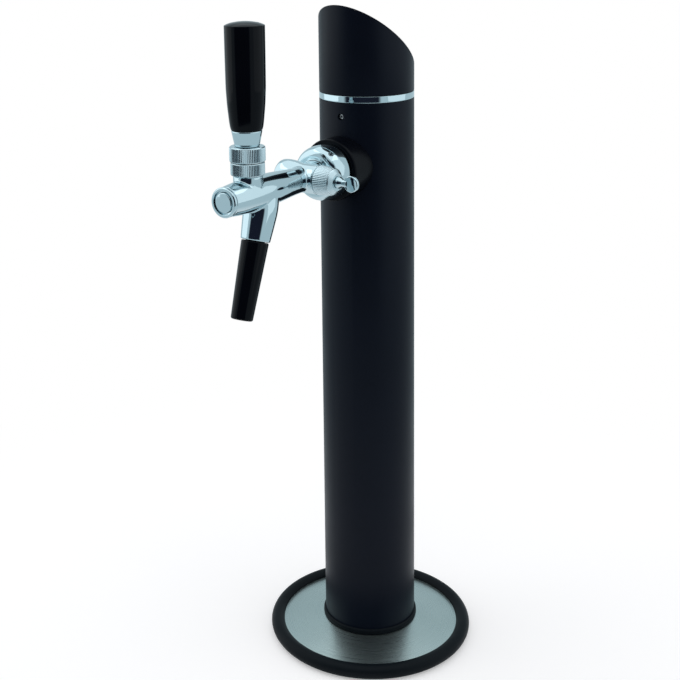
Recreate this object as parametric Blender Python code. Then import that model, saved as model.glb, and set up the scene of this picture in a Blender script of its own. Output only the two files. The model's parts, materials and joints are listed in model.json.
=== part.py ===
"""Counter-top beer tower: a round column on a weighted foot, with one compensator tap.

Metres, +Z up. The origin is on the column's axis at the underside of the foot.
The tap points along -Y, and its flow compensator is on the +X side.
"""
from math import atan, cos, pi, radians, sin, sqrt, tan

import bmesh
import bpy
from mathutils import Vector

for item in list(bpy.data.objects):
    bpy.data.objects.remove(item, do_unlink=True)

# Clearances and facets
seat_gap = 0.0003
cut_overrun = 0.003
weld_distance = 0.000002
tool_turn_share = 0.31
large_steps = 44
round_steps = 28
small_steps = 16
fine_steps = 10
bead_sides = 10
seal_sides = 6

# Foot
base_radius = 0.085
bead_radius = 0.00575
bead_slot_depth = 0.0045
pad_inset = 0.008
pad_thickness = 0.0015
weight_edge = 0.002
weight_body_inset = 0.0035
weight_floor = 0.008
cover_thickness = 0.0008
cover_top = 0.013
cover_hole_radius = 0.0386
collar_height = 0.0042
collar_wall = 0.0012
line_hole_radius = 0.010
line_hole_offset = 0.016

# Column
column_radius = 0.038
column_wall = 0.002
column_above_tap = 0.0508
foot_plug_height = 0.022
foot_plug_bore = 0.0255
foot_lip_inset = 0.0003

# Screws from below into the foot plug
screw_count = 3
screw_circle = 0.0305
screw_head_radius = 0.0045
screw_head_height = 0.003
screw_shank_radius = 0.0022
screw_shank_length = 0.0125
screw_socket_radius = 0.002
screw_socket_depth = 0.0018

# Cap and trim ring
trim_height = 0.005
trim_wall = 0.0021
cap_height = 0.0396
cap_slope = radians(39.2)
cap_turn = radians(5)
cap_plug_depth = 0.025
cap_edge = 0.0005
cap_screw_drop = 0.0115
cap_screw_radius = 0.0022
cap_screw_length = 0.007
cap_screw_inset = 0.002

# Tap fixing
tap_height = 0.410
rosette_depth = 0.016
rosette_radius = 0.024
rosette_step_depth = 0.0075
rosette_step_radius = 0.0217
rosette_edge = 0.001
shank_radius = 0.0085
shank_bore = 0.005
shank_inner_reach = 0.0225
shank_outer_reach = 0.012
saddle_radius = 0.0135
saddle_depth = 0.008
lock_nut_radius = 0.0138
lock_nut_height = 0.006
union_nut_radius = 0.0125
union_nut_length = 0.0125
union_nut_end = 0.003

# Bell-shaped flange in front of the rosette
bell_radius = 0.0214
bell_rim = 0.0085
bell_length = 0.0202
bell_neck_radius = 0.0129
bell_edge = 0.0012
bell_flare_shares = ((0.0, 1.0), (0.06, 0.78), (0.17, 0.56), (0.34, 0.34), (0.6, 0.13), (1.0, 0.0))
bell_screw_radius = 0.0019
bell_screw_place = 0.0135
bell_screw_length = 0.0042

# Riser in the column
pipe_radius = 0.004
pipe_wall = 0.001
pipe_bend_radius = 0.019
pipe_bend_steps = 8
pipe_end_lift = 0.0025
pipe_entry = 0.0057
foam_radius = 0.0145
foam_below_tap = 0.0547

# Tap body
tap_reach = 0.1297
tail_radius = 0.0115
tail_length = 0.022
waist_radius = 0.0098
waist_offset = 0.044
arm_radius = 0.0112
arm_offset = 0.068
barrel_radius = 0.0121
barrel_length = 0.045
barrel_taper = 0.018
nose_radius = 0.0106
nose_chamfer = 0.0008
groove_radius = 0.0086
groove_depth = 0.0025
body_bore = 0.0075
chamber_radius = 0.0065
chamber_length = 0.018
passage_radius = 0.0045

# Nose plug
nose_plug_radius = 0.0072
nose_plug_length = 0.0115
nose_plug_groove = 0.0011

# Neck, ball lever and ribbed rings
handle_setback = 0.0284
neck_radius = 0.0106
neck_height = 0.0149
neck_bore = 0.0072
handle_swing = radians(35)
swing_slot_play = 0.0005
swing_slot_depth = 0.0155
pivot_height = 0.0197
ball_radius = 0.0083
ring_radius = 0.0123
ring_height = 0.009
ring_gap = 0.0007
nut_radius = 0.0129
nut_height = 0.0108
cup_clearance = 0.0003
rib_count = 20
rib_depth = 0.00045
rib_margin = 0.0013
stem_radius = 0.0026
stem_reach = 0.038
finger_arm = 0.017
finger_radius = 0.0024
finger_play = 0.0012

# Handle
ferrule_height = 0.0111
ferrule_low_radius = 0.009
ferrule_top_radius = 0.011
grip_length = 0.0762
grip_low_radius = 0.0113
grip_radius = 0.01435
grip_dome = 0.0028
grip_socket_depth = 0.028
grip_outline_shares = ((0.0, 0.0), (0.09, 0.35), (0.21, 0.63), (0.33, 0.84), (0.46, 0.92), (0.7, 0.97), (0.985, 1.0))

# Valve
outlet_setback = 0.0465
seat_ring_offset = 0.0105
seat_ring_length = 0.003
seat_ring_bore = 0.0044
seal_radius = 0.0058
seal_thickness = 0.002
piston_head_radius = 0.0056
piston_head_length = 0.0035
piston_stem_radius = 0.0026
piston_radius = 0.0072
piston_front_length = 0.0165
piston_back_length = 0.0051
piston_floor = -0.0006
ring_groove_width = 0.0022
ring_groove_depth = 0.0014

# Outlet and spout
outlet_lean = radians(18.2)
outlet_length = 0.0366
outlet_top_radius = 0.0112
outlet_flare_radius = 0.0126
outlet_flare_drop = 0.0125
outlet_radius = 0.0109
outlet_bore = 0.0056
spout_socket_depth = 0.012
spout_socket_radius = 0.0074
spout_length = 0.0572
spout_top_radius = 0.0101
spout_tip_radius = 0.0081
spout_bore = 0.0042
spout_mouth_radius = 0.0062
spout_plug_radius = 0.007
spout_edge = 0.0009

# Compensator
compensator_offset = 0.0325
lever_swing = radians(50)
boss_radius = 0.0112
boss_reach = 0.0137
boss_far_radius = 0.0115
boss_far_reach = 0.0165
boss_spigot_radius = 0.0085
boss_spigot_length = 0.0048
gland_bore = 0.005
gland_nut_radius = 0.0114
gland_nut_length = 0.0085
gland_nut_wall = 0.003
gland_nut_cone = 0.003
gland_nut_tip_radius = 0.0062
spindle_radius = 0.0025
spindle_collar_radius = 0.0046
spindle_collar_length = 0.0016
spindle_inner_end = 0.0058
spindle_drum_radius = 0.0033
thumb_radius = 0.0062
thumb_thickness = 0.003
thumb_reach = 0.042
thumb_edge = 0.0006
eccentric_radius = 0.0011
eccentric_offset = 0.002
eccentric_end = 0.0012
cone_small_radius = 0.0034
cone_large_radius = 0.0054
cone_length = 0.018
cone_back_share = 0.45
cone_clearance = 0.0008
cone_slot_play = 0.00035

# Places that follow from the sizes above
quarter = pi/2
bead_centre = base_radius - bead_radius
slot_inner = bead_centre - bead_radius
slot_height = weight_edge + cover_thickness + 3*seat_gap
slot_bottom = bead_radius - slot_height/2
rim_radius = slot_inner + bead_slot_depth - seat_gap
weight_body_radius = slot_inner - weight_body_inset
pad_radius = weight_body_radius - pad_inset
weight_bottom = pad_thickness + seat_gap
weight_edge_low = slot_bottom + seat_gap
weight_edge_top = weight_edge_low + weight_edge
cover_low = weight_edge_top + seat_gap
cover_rim = slot_inner - seat_gap
lip_radius = column_radius - foot_lip_inset
column_bottom = cover_top + seat_gap
column_top = tap_height + column_above_tap
column_bore = column_radius - column_wall
plug_radius = column_bore - seat_gap
trim_bottom = column_top + seat_gap
cap_bottom = trim_bottom + trim_height + seat_gap
cap_middle = cap_bottom + cap_height
rosette_front = column_radius + rosette_depth
tap_back = rosette_front + seat_gap
nose_face = rosette_front + tap_reach
handle_place = nose_face - handle_setback
outlet_place = nose_face - outlet_setback
compensator_place = rosette_front + compensator_offset
pivot = Vector((0, -handle_place, tap_height + pivot_height))
shoulder_place = outlet_place - seat_ring_offset - seat_ring_length - seat_gap
seat_face = outlet_place - seat_ring_offset - seat_ring_length


def finish(name, colour, roughness, metallic):
    """A plain Principled material."""
    material = bpy.data.materials.new(name)
    material.use_nodes = True
    shader = material.node_tree.nodes["Principled BSDF"]
    shader.inputs["Base Color"].default_value = (*colour, 1)
    shader.inputs["Roughness"].default_value = roughness
    shader.inputs["Metallic"].default_value = metallic
    return material


chrome = finish("chrome", (0.78, 0.84, 0.86), 0.06, 1)
column_black = finish("column_black", (0.012, 0.014, 0.02), 0.38, 0)
gloss_black = finish("gloss_black", (0.006, 0.006, 0.008), 0.12, 0)
rubber = finish("rubber", (0.012, 0.012, 0.013), 0.5, 0)
brushed_steel = finish("brushed_steel", (0.5, 0.53, 0.52), 0.3, 1)
plain_steel = finish("plain_steel", (0.55, 0.56, 0.57), 0.35, 1)
cast_iron = finish("cast_iron", (0.1, 0.1, 0.11), 0.6, 0.6)
brass = finish("brass", (0.7, 0.5, 0.22), 0.3, 1)
seal_white = finish("seal_white", (0.85, 0.85, 0.83), 0.4, 0)
foam = finish("foam", (0.05, 0.05, 0.055), 0.9, 0)

upright = (0, 0, 0)
along_tap = (quarter, 0, 0)
along_side = (0, quarter, 0)
along_outlet = (-outlet_lean, 0, 0)
tap_centre = Vector((0, 0, tap_height))
compensator_centre = Vector((0, -compensator_place, tap_height))
outlet_centre = Vector((0, -outlet_place, tap_height))


def placed(name, bm, material, place, turn):
    """Turn a bmesh into a named object with outward faces."""
    bmesh.ops.recalc_face_normals(bm, faces=bm.faces)
    mesh = bpy.data.meshes.new(name)
    bm.to_mesh(mesh)
    bm.free()
    mesh.shade_smooth()
    mesh.set_sharp_from_angle(angle=radians(35))
    if material:
        mesh.materials.append(material)
    item = bpy.data.objects.new(name, mesh)
    item.location = place
    item.rotation_euler = turn
    bpy.context.collection.objects.link(item)
    return item


def turned(name, profile, material=None, place=(0, 0, 0), turn=upright, steps=round_steps, ribs=()):
    """Spin an outline of (radius, height) points about local Z.

    An outline that starts on the axis also ends there; any other is closed into a ring.
    Tools have no material and start a little round, so that no edge of theirs meets one of the part.
    ribs holds (low, high) heights: every other line of points between them is drawn in.
    """
    bm = bmesh.new()
    start = 0 if material else 2*pi/steps*tool_turn_share
    line = [bm.verts.new((radius*cos(start), radius*sin(start), height)) for radius, height in profile]
    edges = [bm.edges.new(pair) for pair in zip(line, line[1:])]
    if profile[0][0] > 0:
        edges.append(bm.edges.new((line[-1], line[0])))
    bmesh.ops.spin(bm, geom=line + edges, axis=(0, 0, 1), cent=(0, 0, 0), angle=2*pi, steps=steps,
                   use_merge=True)
    bmesh.ops.remove_doubles(bm, verts=bm.verts, dist=weld_distance)
    for low, high, floor in ribs:
        for vert in bm.verts:
            radius = vert.co.xy.length
            if low < vert.co.z < high and radius > floor:
                line_number = round(vert.co.xy.angle_signed(Vector((1, 0)))*steps/(2*pi))
                if line_number % 2:
                    vert.co.xy *= (radius - rib_depth)/radius
    return placed(name, bm, material, place, turn)


def rod(name, radius, low, high, material=None, place=(0, 0, 0), turn=upright, steps=round_steps):
    """A plain cylinder between two heights on local Z."""
    outline = [(0, low), (radius, low), (radius, high), (0, high)]
    return turned(name, outline, material, place, turn, steps)


def ring(name, inner, outer, low, high, material, place=(0, 0, 0), turn=upright, steps=round_steps):
    """A plain ring between two heights on local Z."""
    outline = [(inner, low), (outer, low), (outer, high), (inner, high)]
    return turned(name, outline, material, place, turn, steps)


def bead(name, inner, outer, height, material, place, turn, steps=small_steps, sides=seal_sides):
    """A ring of round section between two radii, such as an O-ring."""
    outline = []
    centre_radius = (inner + outer)/2
    section_radius = (outer - inner)/2
    for side in range(sides):
        angle = 2*pi*side/sides
        outline.append((centre_radius + section_radius*cos(angle), height + section_radius*sin(angle)))
    return turned(name, outline, material, place, turn, steps)


def block(name, size, place, turn=upright, material=None):
    """A box of the given size, centred on its place."""
    bm = bmesh.new()
    bmesh.ops.create_cube(bm, size=1)
    bmesh.ops.scale(bm, vec=Vector(size), verts=bm.verts)
    return placed(name, bm, material, place, turn)


def prism(name, half_width, outline):
    """A tool of even width across X, from an outline of (Y, Z) points about the handle's pivot."""
    bm = bmesh.new()
    face = bm.faces.new([bm.verts.new((-half_width, along, height)) for along, height in outline])
    moved = bmesh.ops.extrude_face_region(bm, geom=[face])["geom"]
    far = [item for item in moved if isinstance(item, bmesh.types.BMVert)]
    bmesh.ops.translate(bm, vec=(2*half_width, 0, 0), verts=far)
    return placed(name, bm, None, pivot, upright)


def swing_outline():
    """The room that the lever needs below its ball, from upright to its full swing."""
    side = stem_radius + swing_slot_play
    angle = handle_swing + radians(1)
    near = side*2
    far = swing_slot_depth
    return [
        (-side, -near),
        (-side, -swing_slot_depth),
        (side*cos(angle) + far*sin(angle), -swing_slot_depth),
        (side*cos(angle) + far*sin(angle), side*sin(angle) - far*cos(angle)),
        (side*cos(angle) + near*sin(angle), side*sin(angle) - near*cos(angle))]


def combine(item, tool, operation="DIFFERENCE"):
    """Apply a hidden tool solid to an item with a Boolean."""
    change = item.modifiers.new(tool.name, "BOOLEAN")
    change.operation = operation
    change.object = tool
    change.solver = "EXACT"
    tool.hide_render = True
    tool.display_type = "WIRE"
    return item


def arc(radius, start, end, steps, centre=0.0):
    """Points (radius, height) on a circle about the axis point at a height."""
    points = []
    for step in range(steps + 1):
        angle = start + (end - start)*step/steps
        points.append((radius*cos(angle), centre + radius*sin(angle)))
    return points


def hex_socket(name, item, radius, depth, face, place, turn):
    """Cut a hexagon socket into a screw's end face; the screw lies above the face."""
    tool = rod(name, radius, face - cut_overrun, face + depth, None, place, turn, steps=6)
    combine(item, tool)


def make_foot():
    """Rubber bead, pad, cast weight, steel cover, collar and the plug that the column stands on."""
    edge = bead("base_rubber_ring", slot_inner, base_radius, bead_radius, rubber, (0, 0, 0), upright,
                large_steps, bead_sides)
    slot = ring("bead_slot", slot_inner - bead_radius, slot_inner + bead_slot_depth, slot_bottom,
                slot_bottom + slot_height, None, steps=large_steps)
    combine(edge, slot)

    pad = rod("anti_slip_pad", pad_radius, 0, pad_thickness, rubber, steps=round_steps)
    weight_slope_top = cover_top - cover_thickness - seat_gap
    weight = turned("base_weight", [
        (0, weight_bottom),
        (weight_body_radius, weight_bottom),
        (weight_body_radius, weight_edge_low),
        (rim_radius, weight_edge_low),
        (rim_radius, weight_edge_top),
        (cover_rim - cover_thickness, weight_edge_top),
        (cover_hole_radius, weight_slope_top),
        (cover_hole_radius, weight_floor),
        (0, weight_floor)], cast_iron, steps=large_steps)
    cover = turned("base_cover", [
        (rim_radius, cover_low),
        (rim_radius, cover_low + cover_thickness),
        (cover_rim, cover_low + cover_thickness),
        (cover_hole_radius, cover_top),
        (cover_hole_radius, cover_top - cover_thickness),
        (cover_rim - cover_thickness, cover_low)], brushed_steel, steps=large_steps)
    collar_inner = column_radius + seat_gap
    collar_outer = collar_inner + collar_wall
    collar_low = cover_top + seat_gap
    turned("foot_collar", [
        (collar_inner, collar_low),
        (collar_outer, collar_low),
        (collar_outer, collar_low + collar_height - collar_wall),
        (collar_outer - collar_wall/2, collar_low + collar_height),
        (collar_inner, collar_low + collar_height)], rubber, steps=large_steps)
    lip_bottom = weight_floor + seat_gap
    foot_plug = turned("column_foot_flange", [
        (0, lip_bottom),
        (lip_radius, lip_bottom),
        (lip_radius, cover_top),
        (plug_radius, cover_top),
        (plug_radius, cover_top + foot_plug_height),
        (foot_plug_bore, cover_top + foot_plug_height),
        (foot_plug_bore, cover_top),
        (0, cover_top)], plain_steel, steps=large_steps)

    line_place = (0, line_hole_offset, 0)
    passage = rod("line_passage", line_hole_radius, -cut_overrun, cover_top + cut_overrun, None, line_place,
                  steps=small_steps)
    for part in (pad, weight, foot_plug):
        combine(part, passage)
    grommet_radius = line_hole_radius - seat_gap
    ring("riser_grommet", pipe_radius + seat_gap, grommet_radius, weight_bottom, cover_top, rubber,
         line_place, steps=small_steps)

    head_low = weight_bottom + seat_gap
    head_top = head_low + screw_head_height
    for number in range(screw_count):
        angle = 2*pi*number/screw_count - quarter
        place = (screw_circle*cos(angle), screw_circle*sin(angle), 0)
        label = str(number + 1)
        screw = turned("column_screw_" + label, [
            (0, head_low),
            (screw_head_radius, head_low),
            (screw_head_radius, head_top),
            (screw_shank_radius, head_top),
            (screw_shank_radius, head_top + screw_shank_length),
            (0, head_top + screw_shank_length)], plain_steel, place, steps=fine_steps)
        hex_socket("screw_socket_" + label, screw, screw_socket_radius, screw_socket_depth, head_low, place,
                   upright)
        hole = turned("screw_hole_" + label, [
            (0, weight_bottom - cut_overrun),
            (screw_head_radius + seat_gap, weight_bottom - cut_overrun),
            (screw_head_radius + seat_gap, head_top + seat_gap),
            (screw_shank_radius + seat_gap, head_top + seat_gap),
            (screw_shank_radius + seat_gap, head_top + screw_shank_length + seat_gap),
            (0, head_top + screw_shank_length + seat_gap)], None, place, steps=fine_steps)
        combine(weight, hole)
        combine(foot_plug, hole)


def make_column():
    """The tube with its tap hole and screw hole, the trim ring and the slanted cap."""
    tube = ring("column_tube", column_bore, column_radius, column_bottom, column_top, column_black,
                steps=large_steps)
    tap_hole = rod("tap_hole", shank_radius + seat_gap, shank_inner_reach, column_radius + cut_overrun, None,
                   tap_centre, along_tap, small_steps)
    combine(tube, tap_hole)
    ring("trim_ring", column_radius - trim_wall, column_radius, trim_bottom, trim_bottom + trim_height, chrome,
         steps=large_steps)

    cap_rise = column_radius*tan(cap_slope)
    neck = trim_bottom + trim_height + seat_gap
    cap = turned("top_cap", [
        (0, neck - cap_plug_depth),
        (column_radius - trim_wall - seat_gap, neck - cap_plug_depth),
        (column_radius - trim_wall - seat_gap, neck),
        (column_radius, neck),
        (column_radius, cap_middle + cap_rise + cut_overrun),
        (0, cap_middle + cap_rise + cut_overrun)], column_black, steps=large_steps)
    slant_reach = 3*column_radius
    slant_lift = cap_middle + slant_reach/2*cos(cap_slope)
    slant_back = slant_reach/2*sin(cap_slope)
    slant_place = (slant_back*sin(cap_turn), slant_back*cos(cap_turn), slant_lift)
    slant = block("cap_slant", (slant_reach, slant_reach, slant_reach), slant_place, (-cap_slope, 0, -cap_turn))
    combine(cap, slant)
    softened = cap.modifiers.new("softened_edge", "BEVEL")
    softened.width = cap_edge
    softened.segments = 1
    softened.limit_method = "ANGLE"
    softened.angle_limit = radians(32)

    screw_place = (0, 0, trim_bottom - cap_screw_drop)
    outer_end = column_radius - cap_screw_inset
    inner_end = outer_end - cap_screw_length
    screw = rod("cap_grub_screw", cap_screw_radius, inner_end, outer_end, plain_steel, screw_place, along_tap,
                fine_steps)
    socket = rod("cap_screw_socket", screw_socket_radius*2/3, outer_end - screw_socket_depth,
                 outer_end + cut_overrun, None, screw_place, along_tap, 6)
    combine(screw, socket)
    screw_hole = rod("cap_screw_hole", cap_screw_radius + seat_gap, inner_end - seat_gap,
                     column_radius + cut_overrun, None, screw_place, along_tap, fine_steps)
    combine(tube, screw_hole)
    combine(cap, screw_hole)


def make_tap_fixing():
    """Rosette, shank, inner saddle and nuts, and the bell-shaped flange."""
    side_depth = column_radius - sqrt(column_radius**2 - rosette_radius**2)
    rosette_back = column_radius - side_depth - cut_overrun
    step_place = rosette_front - rosette_step_depth
    rosette = turned("tap_rosette", [
        (shank_radius + seat_gap, rosette_back),
        (rosette_radius, rosette_back),
        (rosette_radius, step_place - rosette_edge),
        (rosette_radius - rosette_edge, step_place),
        (rosette_step_radius, step_place),
        (rosette_step_radius, rosette_front - rosette_edge),
        (rosette_step_radius - rosette_edge, rosette_front),
        (shank_radius + seat_gap, rosette_front)], gloss_black, tap_centre, along_tap, round_steps)
    column_form = rod("column_form", column_radius + seat_gap, tap_height - 2*rosette_radius,
                      tap_height + 2*rosette_radius, None, steps=large_steps)
    combine(rosette, column_form)

    saddle_flat = column_bore - saddle_depth
    saddle = ring("saddle_washer", shank_radius + seat_gap, saddle_radius, saddle_flat,
                  column_radius, plain_steel, tap_centre, along_tap, small_steps)
    bore_form = rod("bore_form", column_bore - seat_gap, tap_height - 2*rosette_radius,
                    tap_height + 2*rosette_radius, None, steps=large_steps)
    combine(saddle, bore_form, "INTERSECT")

    nut_top = saddle_flat - seat_gap
    lock_nut = rod("shank_lock_nut", lock_nut_radius, nut_top - lock_nut_height, nut_top, brass, tap_centre,
                   along_tap, 6)
    nut_bore = rod("lock_nut_bore", shank_radius + seat_gap, nut_top - lock_nut_height - cut_overrun,
                   nut_top + cut_overrun, None, tap_centre, along_tap, small_steps)
    combine(lock_nut, nut_bore)

    shank_inner = column_radius - shank_inner_reach
    ring("tap_shank", shank_bore, shank_radius, shank_inner, tap_back + shank_outer_reach, brass, tap_centre,
         along_tap, small_steps)
    union_top = nut_top - lock_nut_height - seat_gap
    union_low = union_top - union_nut_length + seat_gap
    union = rod("riser_union_nut", union_nut_radius, union_low, union_top, brass, tap_centre, along_tap, 6)
    union_bore = turned("union_nut_bore", [
        (0, union_low - cut_overrun),
        (pipe_radius + seat_gap, union_low - cut_overrun),
        (pipe_radius + seat_gap, union_low + union_nut_end),
        (shank_radius + seat_gap, union_low + union_nut_end),
        (shank_radius + seat_gap, union_top + cut_overrun),
        (0, union_top + cut_overrun)], None, tap_centre, along_tap, small_steps)
    combine(union, union_bore)

    ring("shank_seal_washer", pipe_radius + seat_gap, shank_radius - seat_gap,
         union_low + union_nut_end + seat_gap, shank_inner - seat_gap, rubber, tap_centre, along_tap,
         small_steps)

    flare_start = tap_back + bell_rim
    flare_length = bell_length - bell_rim
    flare = []
    for along, rise in bell_flare_shares:
        radius = bell_neck_radius + (bell_radius - 2*bell_edge - bell_neck_radius)*rise
        flare.append((radius, flare_start + flare_length*along))
    bell_bore = tail_radius + seat_gap
    bell = turned("tap_flange_bell", [
        (bell_bore, tap_back),
        (bell_radius - bell_edge, tap_back),
        (bell_radius, tap_back + bell_edge),
        (bell_radius, flare_start - bell_edge),
        (bell_radius - bell_edge, flare_start)] + flare + [
        (bell_bore, tap_back + bell_length)], chrome, tap_centre, along_tap, round_steps)
    screw_place = (0, -(tap_back + bell_screw_place), tap_height)
    screw_low = bell_bore + seat_gap
    screw = rod("bell_grub_screw", bell_screw_radius, screw_low, screw_low + bell_screw_length, plain_steel,
                screw_place, upright, fine_steps)
    socket = rod("bell_screw_socket", bell_screw_radius*0.6, screw_low + bell_screw_length/2,
                 screw_low + bell_screw_length + cut_overrun, None, screw_place, upright, 6)
    combine(screw, socket)
    hole = rod("bell_screw_hole", bell_screw_radius + seat_gap, 0, bell_radius + cut_overrun, None,
               screw_place, upright, fine_steps)
    combine(bell, hole)


def make_riser():
    """Stainless pipe from the union nut, round a bend and down to the foot, with its foam sleeve."""
    union_low = (column_bore - saddle_depth - 2*seat_gap - lock_nut_height) - union_nut_length + seat_gap
    start = -(union_low + pipe_entry)
    bend_start = line_hole_offset - pipe_bend_radius
    centres = [(start, 0.0, quarter)]
    for step in range(pipe_bend_steps + 1):
        angle = quarter*step/pipe_bend_steps
        centres.append((bend_start + pipe_bend_radius*sin(angle), -pipe_bend_radius*(1 - cos(angle)),
                        quarter - angle))
    centres.append((line_hole_offset, pipe_end_lift - tap_height, 0.0))
    sides = fine_steps
    bm = bmesh.new()
    loops = []
    for radius in (pipe_radius, pipe_radius - pipe_wall):
        for forward, rise, heading in centres:
            loop = []
            for side in range(sides):
                angle = 2*pi*side/sides
                across = radius*cos(angle)
                outward = radius*sin(angle)
                loop.append(bm.verts.new((across, forward + outward*cos(heading), rise + outward*sin(heading))))
            loops.append(loop)
    count = len(centres)
    outer, inner = loops[:count], loops[count:]
    order = outer + inner[::-1] + outer[:1]
    for first, second in zip(order, order[1:]):
        for side in range(sides):
            after = (side + 1) % sides
            bm.faces.new((first[side], first[after], second[after], second[side]))
    placed("riser_pipe", bm, plain_steel, tap_centre, upright)
    foam_low = cover_top + foot_plug_height + seat_gap
    ring("riser_foam_sleeve", pipe_radius + seat_gap, foam_radius, foam_low, tap_height - foam_below_tap, foam,
         (0, line_hole_offset, 0), steps=small_steps)


def make_tap_body():
    """The cast body: tail, arm, barrel, neck, outlet and compensator boss, with its bores."""
    tail_front = tap_back + tail_length
    barrel_front = nose_face - barrel_taper
    barrel_back = barrel_front - barrel_length + barrel_taper
    body = turned("tap_body", [
        (0, tap_back),
        (tail_radius, tap_back),
        (tail_radius, tail_front),
        (waist_radius, rosette_front + waist_offset),
        (arm_radius, rosette_front + arm_offset),
        (barrel_radius, barrel_back),
        (barrel_radius, barrel_front),
        (nose_radius, nose_face - nose_chamfer),
        (nose_radius - nose_chamfer, nose_face),
        (0, nose_face)], chrome, tap_centre, along_tap, round_steps)
    neck_centre = Vector((0, -handle_place, tap_height))
    neck = rod("neck", neck_radius, 0, neck_height, None, neck_centre, upright, small_steps + 8)
    combine(body, neck, "UNION")
    outlet = turned("outlet", [
        (0, -outlet_length),
        (outlet_radius, -outlet_length),
        (outlet_flare_radius, -outlet_flare_drop),
        (outlet_top_radius, 0),
        (0, 0)], None, outlet_centre, along_outlet, small_steps + 8)
    combine(body, outlet, "UNION")
    far_dome = arc(boss_far_radius, -quarter, 0, 4)
    far_points = []
    for radius, height in far_dome:
        far_points.append((radius, -boss_far_reach + (height + boss_far_radius)*0.32))
    boss = turned("compensator_boss", far_points + [
        (boss_radius, 0),
        (boss_radius, boss_reach),
        (boss_spigot_radius, boss_reach),
        (boss_spigot_radius, boss_reach + boss_spigot_length),
        (0, boss_reach + boss_spigot_length)], None, compensator_centre, along_side, small_steps + 8)
    combine(body, boss, "UNION")

    chamber_back = shoulder_place - chamber_length
    cone_back = compensator_place - cone_length*cone_back_share
    cone_front = cone_back + cone_length
    bores = turned("body_bores", [
        (0, tap_back - cut_overrun),
        (shank_radius + seat_gap, tap_back - cut_overrun),
        (shank_radius + seat_gap, tap_back + shank_outer_reach + seat_gap),
        (passage_radius, tap_back + shank_outer_reach + seat_gap),
        (cone_small_radius + cone_clearance, cone_back),
        (cone_large_radius + cone_clearance, cone_front),
        (cone_large_radius + cone_clearance, chamber_back),
        (chamber_radius, chamber_back),
        (chamber_radius, shoulder_place),
        (body_bore, shoulder_place),
        (body_bore, nose_face - groove_depth),
        (groove_radius, nose_face - groove_depth),
        (groove_radius, nose_face + cut_overrun),
        (0, nose_face + cut_overrun)], None, tap_centre, along_tap, small_steps)
    combine(body, bores)
    neck_hole = rod("neck_hole", neck_bore, 0, neck_height + cut_overrun, None, neck_centre, upright,
                    small_steps)
    combine(body, neck_hole)
    swing_slot = prism("swing_slot", stem_radius + swing_slot_play, swing_outline())
    combine(body, swing_slot)
    outlet_hole = turned("outlet_hole", [
        (0, -outlet_length - cut_overrun),
        (spout_socket_radius, -outlet_length - cut_overrun),
        (spout_socket_radius, -outlet_length + spout_socket_depth),
        (outlet_bore, -outlet_length + spout_socket_depth),
        (outlet_bore, 0),
        (0, 0)], None, outlet_centre, along_outlet, small_steps)
    combine(body, outlet_hole)
    spigot_end = boss_reach + boss_spigot_length
    gland_hole = turned("gland_hole", [
        (0, 0),
        (spindle_drum_radius + seat_gap, 0),
        (spindle_drum_radius + seat_gap, boss_reach),
        (gland_bore, boss_reach),
        (gland_bore, spigot_end + cut_overrun),
        (0, spigot_end + cut_overrun)], None, compensator_centre, along_side, small_steps)
    combine(body, gland_hole)


def make_nose():
    """The plug that closes the barrel, and its O-ring in a groove."""
    plug_back = nose_face - nose_plug_length
    groove_low = plug_back + nose_plug_length*0.35
    turned("nose_plug", [
        (0, plug_back),
        (nose_plug_radius, plug_back),
        (nose_plug_radius, groove_low),
        (nose_plug_radius - ring_groove_depth, groove_low),
        (nose_plug_radius - ring_groove_depth, groove_low + ring_groove_width),
        (nose_plug_radius, groove_low + ring_groove_width),
        (nose_plug_radius, nose_face),
        (0, nose_face)], chrome, tap_centre, along_tap, round_steps)
    bead("nose_o_ring", nose_plug_radius - ring_groove_depth + seat_gap, body_bore - seat_gap,
         groove_low + ring_groove_width/2, rubber, tap_centre, along_tap)


def make_valve():
    """Seat ring, sliding piston, its seal and its O-ring."""
    ring("valve_seat_ring", seat_ring_bore, body_bore - seat_gap, seat_face, seat_face + seat_ring_length,
         seal_white, tap_centre, along_tap, small_steps)
    seal_front = seat_face - seat_gap
    seal_back = seal_front - seal_thickness
    ring("valve_seal", piston_stem_radius + seat_gap, seal_radius, seal_back, seal_front, rubber, tap_centre,
         along_tap, small_steps)
    head_front = seal_back - seat_gap
    land_back = handle_place - piston_back_length
    land_front = handle_place + piston_front_length
    groove_low = handle_place + piston_front_length*0.8
    piston = turned("valve_piston", [
        (0, head_front - piston_head_length),
        (piston_head_radius, head_front - piston_head_length),
        (piston_head_radius, head_front),
        (piston_stem_radius, head_front),
        (piston_stem_radius, land_back),
        (piston_radius, land_back),
        (piston_radius, groove_low),
        (piston_radius - ring_groove_depth, groove_low),
        (piston_radius - ring_groove_depth, groove_low + ring_groove_width),
        (piston_radius, groove_low + ring_groove_width),
        (piston_radius, land_front),
        (0, land_front)], plain_steel, tap_centre, along_tap, small_steps)
    slot_length = 2*(finger_radius + finger_play)
    slot_width = 2*(finger_radius + seat_gap)
    slot_rise = piston_radius + cut_overrun - piston_floor
    slot = block("finger_slot", (slot_width, slot_length, slot_rise),
                 (0, -handle_place, tap_height + piston_floor + slot_rise/2))
    combine(piston, slot)
    bead("piston_o_ring", piston_radius - ring_groove_depth + seat_gap, body_bore - seat_gap,
         groove_low + ring_groove_width/2, rubber, tap_centre, along_tap)


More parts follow.
